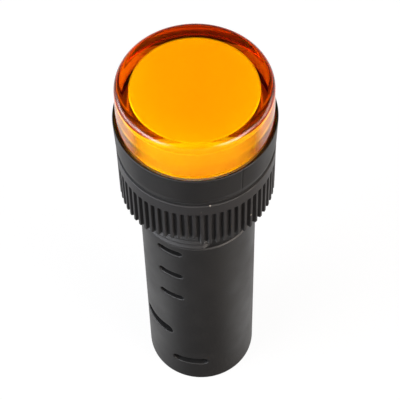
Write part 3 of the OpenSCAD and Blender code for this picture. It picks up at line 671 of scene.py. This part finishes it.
def makeFloor(look):
    # a big sheet that the eye and glass see as white, and that keeps the shadow; for glossy rays it glows
    # white behind the object and close beside it and stays dark in front, a painted reflection on the
    # finishes
    material, tree, out = newMaterial("Pale floor")
    path = addNode(tree, "ShaderNodeLightPath")
    place = addNode(tree, "ShaderNodeTexCoord").outputs["Object"]
    parts = addNode(tree, "ShaderNodeSeparateXYZ", {}, {0: place})
    behind = addNode(tree, "ShaderNodeMapRange", {"interpolation_type": "SMOOTHSTEP", 1: look["mirrorNear"],
                                                  2: look["mirrorFar"], 3: 0.0, 4: look["mirrorLift"]},
                     {0: parts.outputs["Y"]})
    # flankTurn * |x| + y grows from the front round to the back
    across = addNode(tree, "ShaderNodeMath", {"operation": "ABSOLUTE"}, {0: parts.outputs["X"]})
    around = addNode(tree, "ShaderNodeMath", {"operation": "MULTIPLY_ADD", 1: look["flankTurn"]},
                     {0: across.outputs[0], 2: parts.outputs["Y"]})
    flank = addNode(tree, "ShaderNodeMapRange", {"interpolation_type": "SMOOTHSTEP", 1: look["flankNear"],
                                                 2: look["flankFar"]}, {0: around.outputs[0]})
    close = addNode(tree, "ShaderNodeMapRange", {"interpolation_type": "SMOOTHSTEP",
                                                 1: look["flankEdge"][0], 2: look["flankEdge"][1],
                                                 3: look["mirrorLift"], 4: 0.0}, {0: fromAxis(tree, place)})
    beside = addNode(tree, "ShaderNodeMath", {"operation": "MULTIPLY"},
                     {0: flank.outputs[0], 1: close.outputs[0]})
    white = addNode(tree, "ShaderNodeMath", {"operation": "MAXIMUM"},
                    {0: behind.outputs[0], 1: beside.outputs[0]})
    # painted reflection: the floor glows by this much for glossy rays only
    mirrored = addNode(tree, "ShaderNodeMath", {"operation": "MULTIPLY"},
                       {0: white.outputs[0], 1: path.outputs["Is Glossy Ray"]})
    seen = addNode(tree, "ShaderNodeMath", {"operation": "MAXIMUM"},
                   {0: path.outputs["Is Camera Ray"], 1: path.outputs["Is Transmission Ray"]})
    lift = addNode(tree, "ShaderNodeMath", {"operation": "MULTIPLY_ADD", 1: look["floorLift"]},
                   {0: seen.outputs[0], 2: mirrored.outputs[0]})
    glow = addNode(tree, "ShaderNodeEmission", {"Color": (1, 1, 1, 1)}, {"Strength": lift.outputs[0]})
    matte = addNode(tree, "ShaderNodeBsdfDiffuse", {"Color": hexToLinear(look["floor"])})
    both = addNode(tree, "ShaderNodeAddShader", {}, {0: matte.outputs[0], 1: glow.outputs[0]})
    tree.links.new(both.outputs[0], out.inputs["Surface"])
    half = look["floorSize"] / 2
    corners = [(-half, -half, 0), (half, -half, 0), (half, half, 0), (-half, half, 0)]
    mesh = bpy.data.meshes.new("floor")
    mesh.from_pydata(corners, [], [(0, 1, 2, 3)])
    mesh.materials.append(material)
    floor = bpy.data.objects.new("floor", mesh)
    bpy.context.scene.collection.objects.link(floor)


def makeWorld(look):
    # a room with white walls and a dim ceiling: bright up to horizonRise, falling off to ceilingRise
    world = bpy.data.worlds.new("Room")
    bpy.context.scene.world = world
    world.use_nodes = True
    tree = world.node_tree
    tree.nodes.clear()
    out = addNode(tree, "ShaderNodeOutputWorld")
    direction = addNode(tree, "ShaderNodeTexCoord").outputs["Generated"]
    parts = addNode(tree, "ShaderNodeSeparateXYZ", {}, {0: direction})
    level = addNode(tree, "ShaderNodeMapRange", {"interpolation_type": "SMOOTHSTEP",
                                                 1: look["horizonRise"], 2: look["ceilingRise"],
                                                 3: look["horizon"], 4: look["ceiling"]},
                    {0: parts.outputs["Z"]})
    sky = addNode(tree, "ShaderNodeBackground", {"Color": (1, 1, 1, 1)}, {"Strength": level.outputs[0]})
    tree.links.new(sky.outputs[0], out.inputs["Surface"])


def directionOf(turn, rise):
    # unit vector at an angle from -Y and a height above the horizon, both in degrees
    turn, rise = np.radians(turn), np.radians(rise)
    return Vector((np.sin(turn) * np.cos(rise), -np.cos(turn) * np.cos(rise), np.sin(rise)))


def makeLamp(name, look, distance, aim, soft):
    # a softbox that faces the object; its light falls off towards its edges: a smooth step down of the
    # distance from its middle, from soft to the half that is its edge, across times up
    light = bpy.data.lights.new(name, "AREA")
    light.shape = "RECTANGLE"
    light.size, light.size_y = look["size"]
    light.energy = look["power"]
    light.color = hexToLinear(look["colour"])[:3]
    light.use_nodes = True
    tree = light.node_tree
    tree.nodes.clear()
    out = addNode(tree, "ShaderNodeOutputLight")
    place = addNode(tree, "ShaderNodeNewGeometry").outputs["Parametric"]
    parts = addNode(tree, "ShaderNodeSeparateXYZ", {}, {0: place})
    falls = []
    for axis in "XY":
        away = addNode(tree, "ShaderNodeMath", {"operation": "SUBTRACT", 1: 0.5}, {0: parts.outputs[axis]})
        away = addNode(tree, "ShaderNodeMath", {"operation": "ABSOLUTE"}, {0: away.outputs[0]})
        falls.append(addNode(tree, "ShaderNodeMapRange", {"interpolation_type": "SMOOTHSTEP",
                                                          1: soft, 2: 0.5, 3: 1.0, 4: 0.0},
                             {0: away.outputs[0]}))
    both = addNode(tree, "ShaderNodeMath", {"operation": "MULTIPLY"},
                   {0: falls[0].outputs[0], 1: falls[1].outputs[0]})
    glow = addNode(tree, "ShaderNodeEmission", {}, {"Strength": both.outputs[0]})
    tree.links.new(glow.outputs[0], out.inputs["Surface"])
    lamp = bpy.data.objects.new(name, light)
    bpy.context.scene.collection.objects.link(lamp)
    back = directionOf(look["turn"], look["rise"])
    lamp.location = back * distance + Vector((0, 0, aim))
    lamp.rotation_mode = "QUATERNION"
    lamp.rotation_quaternion = back.to_track_quat("Z", "Y")


cameraPlace = {"distance": 0.2025, "rise": 56.4, "roll": -1.52, "aim": (0.0003, 0.0001, 0.0363),
               "lens": 138.6, "sensor": 36, "clip": (0.01, 20)}


def makeCamera(place):
    # looks down at the object from the front, a little rolled
    data = bpy.data.cameras.new("camera")
    data.sensor_width = place["sensor"]
    data.lens = place["lens"]
    data.clip_start, data.clip_end = place["clip"]
    camera = bpy.data.objects.new("camera", data)
    bpy.context.scene.collection.objects.link(camera)
    back = directionOf(0, place["rise"])
    turned = back.to_track_quat("Z", "Y").to_matrix() @ Matrix.Rotation(np.radians(place["roll"]), 3, "Z")
    spot = Vector(place["aim"]) + back * place["distance"]
    camera.matrix_world = Matrix.Translation(spot) @ turned.to_4x4()
    bpy.context.scene.camera = camera


makeFloor(studio)
makeWorld(studio)
for side in ("left", "right", "leftFill", "rightFill"):
    makeLamp(f"softbox_{side}", studio[side], studio["distance"], studio["aim"], studio["soft"])
makeCamera(cameraPlace)
bpy.context.scene.view_settings.view_transform = "Standard"
cycles = bpy.context.scene.cycles
cycles.max_bounces = studio["bounces"]
cycles.glossy_bounces = cycles.transmission_bounces = studio["glassBounces"]
print("studio set")
